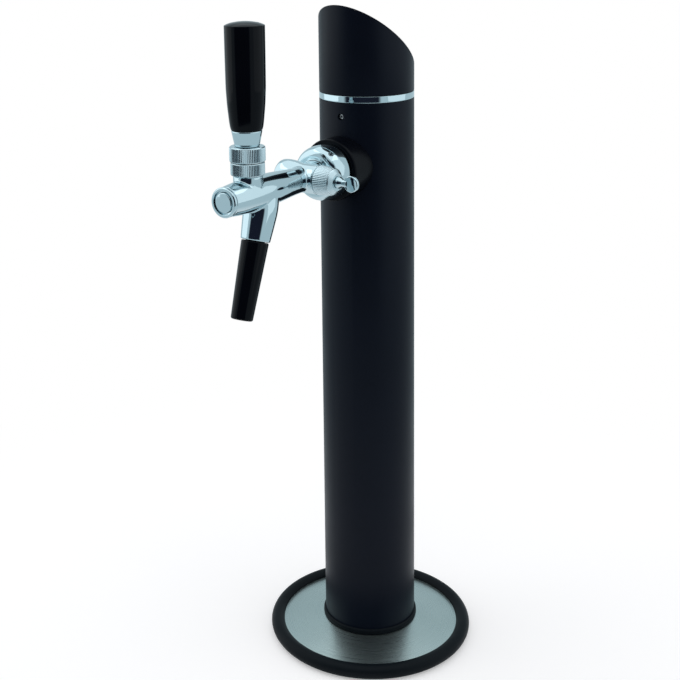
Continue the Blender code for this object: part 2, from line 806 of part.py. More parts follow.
def make_handle():
    """Ball lever, ribbed rings, ferrule and grip. The moving ones hang on an empty at the pivot."""
    joint = bpy.data.objects.new("handle_pivot", None)
    joint.location = pivot
    bpy.context.collection.objects.link(joint)

    half_ring = ring_height/2
    socket_radius = ball_radius + seat_gap
    socket_reach = sqrt(socket_radius**2 - half_ring**2)
    socket_angle = atan(half_ring/socket_reach)
    socket = arc(socket_radius, socket_angle, -socket_angle, 4)
    turned("bonnet_ring", [
        (ring_radius - rib_depth, -half_ring),
        (ring_radius, -half_ring + rib_margin),
        (ring_radius, half_ring - rib_margin),
        (ring_radius - rib_depth, half_ring)] + socket, chrome, pivot, upright, 2*rib_count,
        [(-half_ring + rib_margin/2, half_ring - rib_margin/2, ring_radius - rib_depth)])

    corner = max(Vector((ring_radius - rib_depth, half_ring)).length,
                 Vector((ring_radius, half_ring - rib_margin)).length)
    cup_radius = corner + cup_clearance
    nut_low = half_ring + ring_gap
    nut_top = nut_low + nut_height
    stem_hole = stem_radius + seat_gap
    low_angle = atan(nut_low/sqrt(cup_radius**2 - nut_low**2))
    high_angle = quarter - atan(stem_hole/cup_radius)
    cup = arc(cup_radius, high_angle, low_angle, 5)
    nut = turned("handle_union_nut", [
        (nut_radius - rib_depth, nut_low),
        (nut_radius, nut_low + rib_margin),
        (nut_radius, nut_top - rib_margin),
        (nut_radius - rib_depth*2, nut_top),
        (stem_hole, nut_top)] + cup, chrome, (0, 0, 0), upright, 2*rib_count,
        [(nut_low + rib_margin/2, nut_top - rib_margin/2, nut_radius - rib_depth)])

    ferrule_low = nut_top + seat_gap
    ferrule_top = ferrule_low + ferrule_height
    ferrule = turned("handle_ferrule", [
        (stem_hole, ferrule_low),
        (ferrule_low_radius, ferrule_low),
        (ferrule_top_radius, ferrule_top),
        (stem_hole, ferrule_top)], chrome, steps=round_steps)

    grip_low = ferrule_top + seat_gap
    grip_side = grip_length - grip_dome
    outline = []
    for along, swell in grip_outline_shares:
        outline.append((grip_low_radius + (grip_radius - grip_low_radius)*swell, grip_low + grip_side*along))
    grip = turned("handle_grip", [
        (0, grip_low + grip_socket_depth),
        (stem_hole, grip_low + grip_socket_depth),
        (stem_hole, grip_low)] + outline + [
        (grip_radius*0.965, grip_low + grip_side),
        (grip_radius*0.7, grip_low + grip_side + grip_dome*0.6),
        (grip_radius*0.36, grip_low + grip_length - grip_dome*0.12),
        (0, grip_low + grip_length)], gloss_black, steps=round_steps)

    ball_low = quarter - atan(stem_radius/ball_radius)
    ball = arc(ball_radius, -ball_low, ball_low, 10)
    finger_angle = quarter - atan(stem_radius*0.7/finger_radius)
    tip = arc(finger_radius, -quarter, finger_angle, 6, -finger_arm)
    stem_top = grip_low + min(stem_reach, grip_socket_depth) - seat_gap
    stem = turned("handle_stem", [(0, -finger_arm - finger_radius)] + tip[1:-1] + [
        (stem_radius*0.7, -finger_arm + finger_radius)] + ball + [
        (stem_radius, stem_top),
        (0, stem_top)], plain_steel, steps=small_steps)
    for item in (nut, ferrule, grip, stem):
        item.parent = joint


def make_spout():
    """Tapered push-fit spout and the O-ring that grips its plug."""
    spout_low = -outlet_length - spout_length
    face = -outlet_length - seat_gap
    plug_top = -outlet_length + spout_socket_depth - seat_gap
    groove_low = -outlet_length + spout_socket_depth*0.4
    turned("spout_tube", [
        (spout_mouth_radius, spout_low),
        (spout_tip_radius - spout_edge, spout_low),
        (spout_tip_radius, spout_low + spout_edge),
        (spout_top_radius, face - spout_edge),
        (spout_top_radius - spout_edge, face),
        (spout_plug_radius, face),
        (spout_plug_radius, groove_low),
        (spout_plug_radius - ring_groove_depth, groove_low),
        (spout_plug_radius - ring_groove_depth, groove_low + ring_groove_width),
        (spout_plug_radius, groove_low + ring_groove_width),
        (spout_plug_radius, plug_top),
        (spout_bore, plug_top),
        (spout_bore, face)], gloss_black, outlet_centre, along_outlet, round_steps)
    bead("spout_o_ring", spout_plug_radius - ring_groove_depth + seat_gap, spout_socket_radius - seat_gap,
         groove_low + ring_groove_width/2, rubber, outlet_centre, along_outlet)


def make_compensator():
    """Ribbed gland nut, spindle with thumb disc and eccentric pin, its O-ring and the flow cone."""
    nut_low = boss_reach + seat_gap
    spigot_end = boss_reach + boss_spigot_length
    wall_low = spigot_end + seat_gap
    nut_top = nut_low + gland_nut_length
    cone_top = nut_top + gland_nut_cone
    turned("compensator_gland_nut", [
        (boss_spigot_radius + seat_gap, nut_low),
        (gland_nut_radius - rib_depth, nut_low),
        (gland_nut_radius, nut_low + rib_margin),
        (gland_nut_radius, nut_top - rib_margin),
        (gland_nut_radius - rib_depth*2, nut_top),
        (gland_nut_tip_radius, cone_top),
        (spindle_radius + seat_gap, cone_top),
        (spindle_radius + seat_gap, wall_low),
        (boss_spigot_radius + seat_gap, wall_low)], chrome, compensator_centre, along_side, 2*rib_count,
        [(nut_low + rib_margin/2, nut_top - rib_margin/2, gland_nut_radius - rib_depth)])

    collar_top = spigot_end - seat_gap
    spindle_top = thumb_reach - thumb_radius*0.6
    lever = turned("compensator_lever", [
        (0, spindle_inner_end),
        (spindle_drum_radius, spindle_inner_end),
        (spindle_drum_radius, collar_top - spindle_collar_length),
        (spindle_collar_radius, collar_top - spindle_collar_length),
        (spindle_collar_radius, collar_top),
        (spindle_radius, collar_top),
        (spindle_radius, spindle_top),
        (0, spindle_top)], chrome, compensator_centre, along_side, small_steps)
    half = thumb_thickness/2
    thumb = turned("thumb_disc", [
        (0, -half),
        (thumb_radius - thumb_edge, -half),
        (thumb_radius, -half + thumb_edge),
        (thumb_radius, half - thumb_edge),
        (thumb_radius - thumb_edge, half),
        (0, half)], None, compensator_centre + Vector((thumb_reach, 0, 0)), along_tap, small_steps)
    combine(lever, thumb, "UNION")
    pin_place = compensator_centre + Vector((0, 0, eccentric_offset))
    pin = rod("eccentric_pin", eccentric_radius, eccentric_end, spindle_inner_end + spindle_radius, None,
              pin_place, along_side, fine_steps)
    combine(lever, pin, "UNION")
    ring_place = boss_reach + (boss_spigot_length - spindle_collar_length - seat_gap)/2
    bead("compensator_o_ring", spindle_drum_radius + seat_gap, gland_bore - seat_gap, ring_place, rubber,
         compensator_centre, along_side)

    cone_back = compensator_place - cone_length*cone_back_share
    cone = turned("compensator_cone", [
        (0, cone_back),
        (cone_small_radius, cone_back),
        (cone_large_radius, cone_back + cone_length),
        (0, cone_back + cone_length)], seal_white, tap_centre, along_tap, small_steps)
    slot_low = eccentric_offset*cos(lever_swing) - eccentric_radius - cone_slot_play
    slot_high = eccentric_offset + eccentric_radius + cone_slot_play
    slot_deep = cone_large_radius + cut_overrun
    slot = block("eccentric_slot", (slot_deep, 2*(eccentric_radius + cone_slot_play), slot_high - slot_low),
                 compensator_centre + Vector((eccentric_end - cone_slot_play + slot_deep/2, 0,
                                              (slot_low + slot_high)/2)))
    combine(cone, slot)


make_foot()
make_column()
make_tap_fixing()
make_riser()
make_tap_body()
make_nose()
make_valve()
make_handle()
make_spout()
make_compensator()
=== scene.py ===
# %% [markdown]
# # A counter-top beer tower with one compensator tap
# This lesson dresses the finished CAD model of the tower for a picture. The CAD model gives the places and
# sizes, and each cell below makes one visible piece or one finish. All lengths are in metres, +Z is up, the
# tap points along -Y and the small side lever is on the +X side.

# %% Load the fixed frame
import json
import bpy
from math import atan2, cos, pi, radians, sin, sqrt, tan
from mathutils import Matrix, Vector


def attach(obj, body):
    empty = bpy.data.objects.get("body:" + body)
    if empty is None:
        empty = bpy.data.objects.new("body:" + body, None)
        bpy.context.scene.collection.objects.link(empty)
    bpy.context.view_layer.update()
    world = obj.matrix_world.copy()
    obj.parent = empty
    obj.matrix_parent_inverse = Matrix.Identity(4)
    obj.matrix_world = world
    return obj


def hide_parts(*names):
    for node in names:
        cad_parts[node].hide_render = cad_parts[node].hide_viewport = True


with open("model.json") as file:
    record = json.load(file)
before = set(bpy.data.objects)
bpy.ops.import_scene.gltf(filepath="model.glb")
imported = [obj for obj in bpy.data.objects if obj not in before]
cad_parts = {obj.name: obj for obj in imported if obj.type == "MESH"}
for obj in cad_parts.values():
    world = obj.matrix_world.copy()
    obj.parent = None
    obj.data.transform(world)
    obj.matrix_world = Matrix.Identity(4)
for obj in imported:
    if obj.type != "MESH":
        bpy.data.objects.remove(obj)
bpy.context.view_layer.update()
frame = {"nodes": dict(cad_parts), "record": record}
nodes = frame["nodes"]

# %% [markdown]
# ## Selecting and finishing by hand
# Operators act on what is selected, and the loaded CAD nodes come in selected. So each step starts from an
# empty selection. A finished piece keeps its object at the origin, with its place in its mesh, because
# patterns that read Object coordinates then stay where they are.


# %% Small helpers for selection and finishing
def select_only(*items):
    bpy.ops.object.select_all(action="DESELECT")
    for item in items:
        item.select_set(True)
    bpy.context.view_layer.objects.active = items[0]


def settle(item, smooth=35):
    """Put an object's place in its mesh and shade it smooth up to an angle."""
    select_only(item)
    bpy.ops.object.transform_apply(location=True, rotation=True, scale=True)
    bpy.ops.object.shade_smooth_by_angle(angle=radians(smooth))
    return item


def apply_modifier(item, kind, **settings):
    select_only(item)
    modifier = item.modifiers.new(kind.lower(), kind)
    for name, value in settings.items():
        setattr(modifier, name, value)
    bpy.ops.object.modifier_apply(modifier=modifier.name)
    return item


def carve(item, *tools, operation="DIFFERENCE"):
    """Use tool solids on an item with exact Booleans, then remove the tools."""
    for tool in tools:
        apply_modifier(item, "BOOLEAN", operation=operation, object=tool, solver="EXACT")
        bpy.data.objects.remove(tool, do_unlink=True)
    return item


# %% [markdown]
# ## Turned pieces
# Almost everything on a tower is turned on a lathe. In Blender that is one outline, extruded point by point
# from a single vertex, and spun once round its axis. Real turned edges are never razor sharp, so the corners
# of an outline are rounded first: a small radius is what catches the light.


# %% The lathe
def rounded(outline, radius, steps=3, closed=False):
    """Round the corners of a list of (radius, height) points."""
    result = []
    count = len(outline)
    for number, point in enumerate(outline):
        here = Vector(point)
        if not closed and number in (0, count - 1):
            result.append(tuple(here))
            continue
        before = Vector(outline[number - 1]) - here
        after = Vector(outline[(number + 1) % count]) - here
        cut = min(radius, 0.4*before.length, 0.4*after.length)
        start = here + before.normalized()*cut
        end = here + after.normalized()*cut
        for step in range(steps + 1):
            share = step/steps
            spot = start*(1 - share)**2 + here*2*share*(1 - share) + end*share**2
            result.append(tuple(spot))
    return result


def flowing(points, steps=6):
    """A smooth line through (radius, height) points."""
    line = [Vector(point) for point in points]
    line = [2*line[0] - line[1]] + line + [2*line[-1] - line[-2]]
    result = []
    for a, b, c, d in zip(line, line[1:], line[2:], line[3:]):
        for step in range(steps):
            t = step/steps
            spot = 0.5*(2*b + (c - a)*t + (2*a - 5*b + 4*c - d)*t**2 + (3*b - a - 3*c + d)*t**3)
            result.append(tuple(spot))
    result.append(tuple(line[-2]))
    return result


def lathe(name, outline, centre=(0, 0, 0), axis=(0, 0, 1), steps=96, side=None):
    """Extrude an outline from one vertex and spin it about an axis through the centre."""
    centre = Vector(centre)
    axis = Vector(axis).normalized()
    side = Vector(side).normalized() if side else axis.orthogonal().normalized()
    points = [centre + side*radius + axis*height for radius, height in outline]
    if outline[0][0] > 1e-7:
        points.append(points[0])
    bpy.ops.object.select_all(action="DESELECT")
    bpy.ops.mesh.primitive_plane_add(size=0.001, location=points[0])
    item = bpy.context.object
    item.name = item.data.name = name
    bpy.ops.object.mode_set(mode="EDIT")
    bpy.ops.mesh.merge(type="CENTER")
    for start, end in zip(points, points[1:]):
        bpy.ops.mesh.extrude_region_move(TRANSFORM_OT_translate={"value": end - start})
    bpy.ops.mesh.select_all(action="SELECT")
    bpy.ops.mesh.spin(steps=steps, angle=2*pi, center=centre, axis=axis)
    bpy.ops.mesh.select_all(action="SELECT")
    bpy.ops.mesh.remove_doubles(threshold=0.000002)
    bpy.ops.mesh.normals_make_consistent(inside=False)
    bpy.ops.object.mode_set(mode="OBJECT")
    return settle(item)


down_tap = (0, -1, 0)
tap_centre = Vector((0, 0, 0.410))
seat_gap = 0.0003


# %% [markdown]
# ## The rubber bead round the foot
# The foot stands in a thick black rubber ring. It is a round cord with a slot on its inner side that grips
# the rim of the steel cover, so its outline is a circle with that slot let into it.

# %% Rubber bead
bead_radius = 0.00575
bead_centre = 0.079249
slot_half = 0.00185
slot_floor = 0.078
mouth_angle = pi - atan2(slot_half, sqrt(bead_radius**2 - slot_half**2))
bead_outline = []
bead_sides = 36
for side_number in range(bead_sides + 1):
    angle = mouth_angle*(1 - 2*side_number/bead_sides)
    bead_outline.append((bead_centre + bead_radius*cos(angle), bead_radius + bead_radius*sin(angle)))
bead_outline += [(slot_floor, bead_radius - slot_half), (slot_floor, bead_radius + slot_half)]
rubber_bead = lathe("rubber_bead", bead_outline, steps=192)
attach(rubber_bead, "tower")
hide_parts("base_rubber_ring")
print("rubber bead, outer radius", bead_centre + bead_radius)

# %% [markdown]
# ## The steel cover
# A thin sheet, spun to a shallow cone, hides the cast weight. Its outer edge sits in the bead's slot and its
# inner edge ends under the column's lip. Both ends are turned down by a hair, as pressed sheet is.

# %% Steel cover
sheet = 0.0008
cover_line = [(0.0776, 0.0073), (0.0735, 0.0073), (0.0718, 0.00755), (0.062, 0.0092), (0.050, 0.01115),
              (0.041, 0.0126), (0.0388, 0.01297)]
cover_top_line = flowing(cover_line, 4)
cover_under_line = [(radius, height - sheet) for radius, height in reversed(cover_top_line)]
steel_cover = lathe("steel_cover", cover_top_line + cover_under_line, steps=192)
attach(steel_cover, "tower")
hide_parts("base_cover")

# %% [markdown]
# ## The lip at the column's foot
# A slim black rubber lip closes the joint between column and cover.

# %% Foot lip
lip_inner = 0.038 + seat_gap
lip_outer = lip_inner + 0.0012
lip_outline = rounded([(lip_inner, 0.0133), (lip_outer + 0.0002, 0.0133), (lip_outer, 0.0163),
                       (lip_inner + 0.0003, 0.0175), (lip_inner, 0.0175)], 0.0005, closed=True)
foot_lip = lathe("foot_lip", lip_outline, steps=192)
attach(foot_lip, "tower")
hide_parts("foot_collar")

# %% [markdown]
# ## The column
# A straight tube, painted satin black. It is a tall ring with softly broken ends. The tap's shank and a small
# screw for the cap pass through its wall, so those two holes are bored with a Boolean.

# %% Column tube with its two holes
column_radius = 0.038
column_bore = 0.036
column_low = 0.0133
column_high = 0.4608


def drill(name, radius, start, axis, length, steps=32):
    """A plain tool for boring, from a start point along an axis."""
    return lathe(name, [(0, 0), (radius, 0), (radius, length), (0, length)], start, axis, steps)


column_shell = lathe("column_shell", rounded([(column_bore, column_low), (column_radius, column_low),
                                              (column_radius, column_high), (column_bore, column_high)],
                                             0.0004, closed=True), steps=192)
screw_height = 0.4496
carve(column_shell,
      drill("shank_drill", 0.0088, tap_centre + Vector((0, -0.02, 0)), down_tap, 0.03),
      drill("screw_drill", 0.0026, (0, -0.02, screw_height), down_tap, 0.03))
settle(column_shell, 30)
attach(column_shell, "tower")
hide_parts("column_tube")
print("column from", column_low, "to", column_high)

# %% [markdown]
# ## Trim ring
# A polished ring covers the joint between column and cap. Two fine bevels give it its bright edges.

# %% Trim ring
trim_low = 0.4611
trim_high = 0.4661
trim_outline = rounded([(0.0359, trim_low), (0.0379, trim_low), (0.038, trim_low + 0.0003),
                        (0.038, trim_high - 0.0003), (0.0379, trim_high), (0.0359, trim_high)],
                       0.0002, closed=True)
trim_band = lathe("trim_band", trim_outline, steps=192)
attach(trim_band, "tower")
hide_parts("trim_ring")

# %% [markdown]
# ## The slanted cap
# The cap is a solid rod that plugs into the column. It is cut across at about forty degrees, high over the
# tap and low at the back. It sits a few degrees round from the tap, as a cap that is pushed in by hand does.
# Bisect makes the cut and fills it, and a bevel breaks the new edge.

# %% Cap
cap_low = 0.4664
cap_plug_low = cap_low - 0.025
cap_middle = cap_low + 0.0394
cap_slope = radians(39.2)
cap_turn = radians(5)
cap_rise = column_radius*tan(cap_slope)
cap_outline = rounded([(0, cap_plug_low), (0.0356, cap_plug_low), (0.0356, cap_low), (column_radius, cap_low),
                       (column_radius, cap_middle + cap_rise + 0.005), (0, cap_middle + cap_rise + 0.005)],
                      0.0004)
slanted_cap = lathe("slanted_cap", cap_outline, steps=192)
select_only(slanted_cap)
bpy.ops.object.mode_set(mode="EDIT")
bpy.ops.mesh.select_all(action="SELECT")
cut_normal = Vector((sin(cap_slope)*sin(cap_turn), sin(cap_slope)*cos(cap_turn), cos(cap_slope)))
bpy.ops.mesh.bisect(plane_co=(0, 0, cap_middle), plane_no=cut_normal, use_fill=True, clear_outer=True)
bpy.ops.mesh.bevel(offset=0.0005, segments=3, affect="EDGES")
bpy.ops.object.mode_set(mode="OBJECT")
carve(slanted_cap, drill("cap_screw_drill", 0.0026, (0, -0.0285, screw_height), down_tap, 0.015))
settle(slanted_cap, 25)
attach(slanted_cap, "tower")
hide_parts("top_cap")
print("cap's highest point", max(vert.co.z for vert in slanted_cap.data.vertices))

# %% [markdown]
# ## Socket screws
# Small set screws hold the cap and the flange. Each is a turned pin with a rounded tip and a hexagon socket.


# %% Set screws
def set_screw(name, node, radius, length, start, axis, socket):
    """A set screw whose outer end, with the socket, is length away from the start along the axis."""
    pin = lathe(name, rounded([(0, 0), (radius*0.7, 0), (radius, radius*0.3), (radius, length), (0, length)],
                              radius*0.12), start, axis, 32)
    end = Vector(start) + Vector(axis)*(length - socket*1.4)
    carve(pin, drill(name + "_socket", socket, end, axis, socket*3, 6))
    settle(pin, 25)
    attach(pin, "tower")
    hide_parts(node)
    return pin


cap_screw = set_screw("cap_screw", "cap_grub_screw", 0.0022, 0.007, (0, -0.029, screw_height), down_tap,
                      0.0012)
flange_screw_place = 0.0678
flange_screw = set_screw("flange_screw", "bell_grub_screw", 0.0019, 0.0042,
                         (0, -flange_screw_place, 0.4221), (0, 0, 1), 0.0011)

# %% [markdown]
# ## Rosette
# A black collar fills the space between the round column and the flat back of the flange. It is turned, and
# then its back is hollowed by a cylinder a little larger than the column.

# %% Rosette
rosette_outline = rounded([(0.0088, 0.0265), (0.0245, 0.0265), (0.0245, 0.0525), (0.0238, 0.054),
                           (0.0088, 0.054)], 0.0006, 4, closed=True)
rosette = lathe("rosette", rosette_outline, tap_centre, down_tap, 128)
carve(rosette, lathe("column_form", [(0, 0.37), (0.0383, 0.37), (0.0383, 0.45), (0, 0.45)], steps=192))
settle(rosette, 30)
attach(rosette, "tower")
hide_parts("tap_rosette")

# %% [markdown]
# ## The flange
# The chrome flange is a deep cap with a wide, full shoulder, from which the tap's arm comes out. It is
# clamped by a set screw. The CAD model's own screw stays on top, hidden in a blind bore. The one that shows
# sits in an open bore to the side of the top, and it stands for no CAD node.

# %% Flange
front_edge = flowing([(0.0214, 0.0640), (0.0213, 0.0660), (0.0209, 0.0684), (0.0201, 0.0706),
                      (0.0189, 0.0724), (0.0172, 0.0736), (0.0153, 0.0741), (0.0136, 0.0741),
                      (0.0121, 0.0742)], 5)
rim = rounded([(0.0118, 0.0543), (0.0205, 0.0543), (0.0214, 0.0552), (0.0214, 0.0600)], 0.0007, 4)
flange = lathe("flange", rim + front_edge + [(0.0118, 0.0744)], tap_centre, down_tap, 128)
screw_lean = radians(36.5)
screw_axis = Vector((sin(screw_lean), 0, cos(screw_lean)))
side_screw_place = tap_centre + Vector((0, -0.0691, 0))
carve(flange, drill("hidden_bore", 0.0022, (0, -flange_screw_place, 0.4195), (0, 0, 1), 0.0072),
      drill("screw_bore", 0.0021, side_screw_place + screw_axis*0.0135, screw_axis, 0.012))
settle(flange, 30)
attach(flange, "tower")
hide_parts("tap_flange_bell")
side_screw_outline = rounded([(0, 0.0138), (0.0018, 0.0138), (0.0018, 0.0199), (0, 0.0199)], 0.0003)
side_screw = lathe("side_screw", side_screw_outline, side_screw_place, screw_axis, 32)
socket_floor = side_screw_place + screw_axis*0.0183
carve(side_screw, drill("side_screw_socket", 0.0009, socket_floor, screw_axis, 0.004, 6))
settle(side_screw, 25)
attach(side_screw, "tower")

# %% [markdown]
# ## The tap's casting
# The body is one casting: a tail, a waisted arm, a barrel, a neck for the handle, a leaning outlet and a
# cross boss for the flow compensator. On the real part these forms run into each other with soft fillets.
# So the turned forms are first joined with Booleans, then remeshed to small even faces and smoothed, which
# rounds every inner corner. Only after that come the bores, so that their edges stay crisp.

# %% Turned forms of the casting
tail_back = 0.0543
handle_place = 0.1553
outlet_place = 0.1372
compensator_place = 0.0865
outlet_lean = radians(18.2)
outlet_axis = Vector((0, -sin(outlet_lean), -cos(outlet_lean)))
handle_centre = Vector((0, -handle_place, tap_centre.z))
outlet_centre = Vector((0, -outlet_place, tap_centre.z))
compensator_centre = Vector((0, -compensator_place, tap_centre.z))

run = flowing([(0.0115, 0.0763), (0.0104, 0.086), (0.0098, 0.096), (0.0103, 0.108), (0.0112, 0.120),
               (0.0118, 0.130), (0.0121, 0.142), (0.0121, 0.160), (0.0118, 0.169), (0.0111, 0.177),
               (0.0107, 0.1808)], 5)
casting = lathe("tap_casting", [(0, tail_back), (0.0115, tail_back), (0.0115, 0.0763)] + run[1:]
                + [(0, 0.1808)], tap_centre, down_tap, 96)
neck = lathe("neck", [(0, 0), (0.0106, 0), (0.0106, 0.0146), (0.0103, 0.0149), (0, 0.0149)], handle_centre,
             steps=96)
outlet_side = flowing([(0.0112, 0), (0.0123, 0.0075), (0.0126, 0.0135), (0.0124, 0.0185), (0.0117, 0.0270),
                       (0.0110, 0.0346), (0.0109, 0.0362)], 4)
outlet = lathe("outlet", [(0, -0.004), (0.0108, -0.004)] + outlet_side + [(0.0106, 0.0366), (0, 0.0366)],
               outlet_centre, outlet_axis, 96)
far_end = flowing([(0, -0.0222), (0.007, -0.0221), (0.0105, -0.0216), (0.0121, -0.0203), (0.0127, -0.0180),
                   (0.0128, -0.0140), (0.0123, -0.0090), (0.0114, -0.0040), (0.0112, 0)], 5)
boss = lathe("boss", far_end + [(0.0112, 0.0137), (0.0085, 0.0137), (0.0085, 0.0185), (0, 0.0185)],
             compensator_centre, (1, 0, 0), 96)
carve(casting, neck, outlet, boss, operation="UNION")
apply_modifier(casting, "REMESH", mode="VOXEL", voxel_size=0.0005, use_smooth_shade=True)
apply_modifier(casting, "SMOOTH", factor=0.5, iterations=14)
print("casting faces", len(casting.data.polygons))

# %% [markdown]
# The bores follow the CAD model: the socket over the shank, the compensator's tapered passage, the valve
# chamber, the piston's bore and the counterbore in the nose, then the neck, the lever's slot, the outlet and
# the gland.

# %% Bores of the casting
bores = lathe("bores", [(0, 0.052), (0.0088, 0.052), (0.0088, 0.0666), (0.0045, 0.0666), (0.0042, 0.0784),
                        (0.0062, 0.0964), (0.0062, 0.1054), (0.0065, 0.1054), (0.0065, 0.1234),
                        (0.0075, 0.1234), (0.0075, 0.1812), (0.0075, 0.184), (0, 0.184)],
              tap_centre, down_tap, 64)
neck_bore = drill("neck_bore", 0.0072, handle_centre, (0, 0, 1), 0.018, 64)
outlet_bore = lathe("outlet_bore", [(0, 0), (0.0056, 0), (0.0056, 0.0246), (0.0074, 0.0246), (0.0074, 0.040),
                                    (0, 0.040)], outlet_centre, outlet_axis, 64)
gland_bore = lathe("gland_bore", [(0, 0), (0.0036, 0), (0.0036, 0.0137), (0.005, 0.0137), (0.005, 0.022),
                                  (0, 0.022)], compensator_centre, (1, 0, 0), 64)


def lever_slot():
    """The wedge of room that the lever needs under its ball, from upright to the full pull."""
    half = 0.0031
    pull = radians(36)
    pivot = handle_centre + Vector((0, 0, 0.0197))
    outline = [(-half, -2*half), (-half, -0.0155), (half*cos(pull) + 0.0155*sin(pull), -0.0155),
               (half*cos(pull) + 0.0155*sin(pull), half*sin(pull) - 0.0155*cos(pull)),
               (half*cos(pull) + 2*half*sin(pull), half*sin(pull) - 2*half*cos(pull))]
    points = [pivot + Vector((-half, along, height)) for along, height in outline]
    bpy.ops.object.select_all(action="DESELECT")
    bpy.ops.mesh.primitive_plane_add(size=0.001, location=points[0])
    item = bpy.context.object
    bpy.ops.object.mode_set(mode="EDIT")
    bpy.ops.mesh.merge(type="CENTER")
    for start, end in zip(points, points[1:]):
        bpy.ops.mesh.extrude_region_move(TRANSFORM_OT_translate={"value": end - start})
    bpy.ops.mesh.select_all(action="SELECT")
    bpy.ops.mesh.edge_face_add()
    bpy.ops.mesh.extrude_region_move(TRANSFORM_OT_translate={"value": (2*half, 0, 0)})
    bpy.ops.mesh.select_all(action="SELECT")
    bpy.ops.mesh.normals_make_consistent(inside=False)
    bpy.ops.object.mode_set(mode="OBJECT")
    return settle(item)


carve(casting, bores, neck_bore, outlet_bore, gland_bore, lever_slot())
settle(casting, 40)
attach(casting, "tower")
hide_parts("tap_body")
print("casting faces with its bores", len(casting.data.polygons))

# %% [markdown]
# ## Nose
# The barrel ends in a crisp rim with a fine groove, and a flat plug closes it.

# %% Nose rim and plug
nose_rim = lathe("nose_rim", rounded([(0.0075, 0.1811), (0.0109, 0.1811), (0.0109, 0.1830), (0.0102, 0.1837),
                                      (0.0086, 0.1837), (0.0086, 0.1813), (0.0075, 0.1813)], 0.0002,
                                     closed=True), tap_centre, down_tap, 96)
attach(nose_rim, "tower")
plug_outline = rounded([(0, 0.1722), (0.0072, 0.1722), (0.0072, 0.17622), (0.0058, 0.17622),
                        (0.0058, 0.17842), (0.0072, 0.17842), (0.0072, 0.1833), (0.0067, 0.1837),
                        (0, 0.1837)], 0.0003)
nose_cap = lathe("nose_cap", plug_outline, tap_centre, down_tap, 96)
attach(nose_cap, "tower")
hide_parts("nose_plug")

# %% [markdown]
# ## Ribbed rings
# The neck ring, the handle's nut and the gland nut have fine straight ribs for the fingers. A ring is spun
# with two columns of points for every rib, and then every other column is drawn in by a scale about the axis.


# %% Ribbed rings
def ribbed(name, outline, centre, axis, side, ribs, low, high, depth, floor):
    """A turned ring with straight ribs between two heights."""
    ring = lathe(name, outline, centre, axis, ribs*2, side)
    centre = Vector(centre)
    axis = Vector(axis)
    side = Vector(side)
    across = axis.cross(side)
    bpy.ops.object.mode_set(mode="EDIT")
    bpy.ops.mesh.select_all(action="DESELECT")
    bpy.ops.object.mode_set(mode="OBJECT")
    reach = 0
    for vert in ring.data.vertices:
        offset = vert.co - centre
        height = offset.dot(axis)
        radius = (offset - axis*height).length
        column = round(atan2(offset.dot(across), offset.dot(side))*ribs/pi)
        vert.select = low < height < high and radius > floor and column % 2 == 1
        reach = max(reach, radius)
    share = 1 - depth/reach
    value = [share + (1 - share)*abs(part) for part in axis]
    bpy.ops.object.mode_set(mode="EDIT")
    bpy.ops.mesh.select_mode(type="VERT")
    bpy.ops.transform.resize(value=value, center_override=centre)
    bpy.ops.object.mode_set(mode="OBJECT")
    return settle(ring, 50)


pivot = handle_centre + Vector((0, 0, 0.0197))
socket_line = []
for step in range(9):
    height = 0.0045 - 0.009*step/8
    socket_line.append((sqrt(0.0086**2 - height**2), height))
ring_outline = rounded([(0.0118, -0.0045), (0.0123, -0.0040), (0.0123, -0.0034), (0.0123, 0.0034),
                        (0.0123, 0.0040), (0.0118, 0.0045)], 0.0002)
neck_ring = ribbed("neck_ring", [(socket_line[-1][0], -0.0045)] + ring_outline + socket_line[:-1], pivot,
                   (0, 0, 1), (0, -1, 0), ribs=64, low=-0.0042, high=0.0042, depth=0.00035, floor=0.0115)
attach(neck_ring, "tower")
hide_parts("bonnet_ring")

cup_line = []
for step in range(9):
    height = 0.0127 - (0.0127 - 0.0052)*step/8
    cup_line.append((max(0.0029, sqrt(max(0.01301**2 - height**2, 0))), height))
nut_outline = rounded([(0.0124, 0.0052), (0.0129, 0.0057), (0.0129, 0.0064), (0.0129, 0.0145),
                       (0.0128, 0.0152), (0.0121, 0.0160), (0.0029, 0.0160)], 0.0003)
handle_nut = ribbed("handle_nut", nut_outline + cup_line, pivot, (0, 0, 1), (0, -1, 0), ribs=64, low=0.0055,
                    high=0.0153, depth=0.00035, floor=0.0118)
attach(handle_nut, "handle")
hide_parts("handle_union_nut")

gland_outline = rounded([(0.0088, 0.0140), (0.0108, 0.0140), (0.0113, 0.0146), (0.0113, 0.0152),
                         (0.0102, 0.0263), (0.0101, 0.0270), (0.0095, 0.0276), (0.0070, 0.0294),
                         (0.0066, 0.0297), (0.0028, 0.0297), (0.0028, 0.0188), (0.0088, 0.0188)], 0.0003,
                        closed=True)
gland_nut = ribbed("gland_nut", gland_outline, compensator_centre, (1, 0, 0), (0, 0, 1), ribs=56,
                   low=0.0143, high=0.0272, depth=0.0003, floor=0.0096)
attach(gland_nut, "tower")
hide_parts("compensator_gland_nut")

# %% [markdown]
# ## The side lever
# The compensator's spindle ends in a flat round disc for finger and thumb. Spindle and disc are joined with
# Booleans, and so is the small eccentric pin that moves the flow cone inside.

